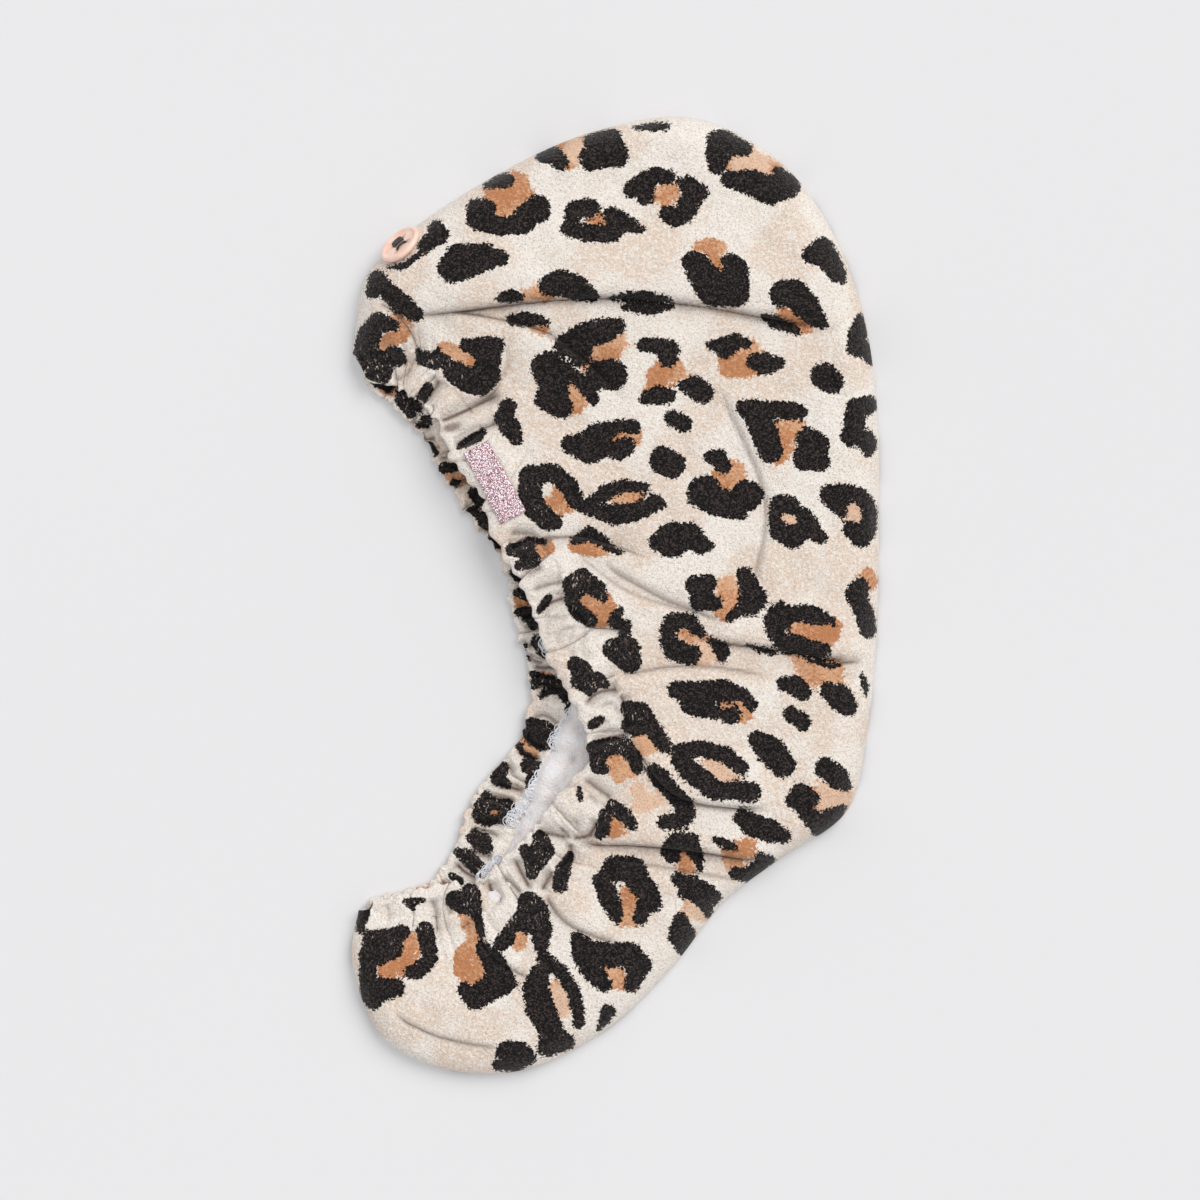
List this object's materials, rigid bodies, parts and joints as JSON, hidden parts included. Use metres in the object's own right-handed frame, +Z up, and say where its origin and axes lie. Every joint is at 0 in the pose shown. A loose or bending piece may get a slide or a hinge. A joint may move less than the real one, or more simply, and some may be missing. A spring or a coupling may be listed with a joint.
{
  "type": "hair towel",
  "caption": "Crescent-shaped plush hair towel lying flat: leopard-print panels sewn along the outer curve, gathered elastic hems round the open mouth, a button at the front.",
  "frame": {"origin": "middle of the footprint of the towel that lies flat, on the plane it rests on", "axes": "+Z up, away from the surface it lies on. +Y along its length, from the tail to the wide head end. +X from the open mouth across to the closed outer curve."},
  "size_m": [0.2528, 0.4575, 0.028],
  "materials": {
    "plush": "brushed plush",
    "gathered_plush": "brushed plush",
    "woven_label": "woven",
    "button_plastic": "satin"
  },
  "bodies": {
    "root": {"upper_panel": "plush", "lower_panel": "plush", "upper_hem": "gathered_plush", "lower_hem": "gathered_plush", "label": "woven_label", "button": "button_plastic"}
  },
  "joints": []
}
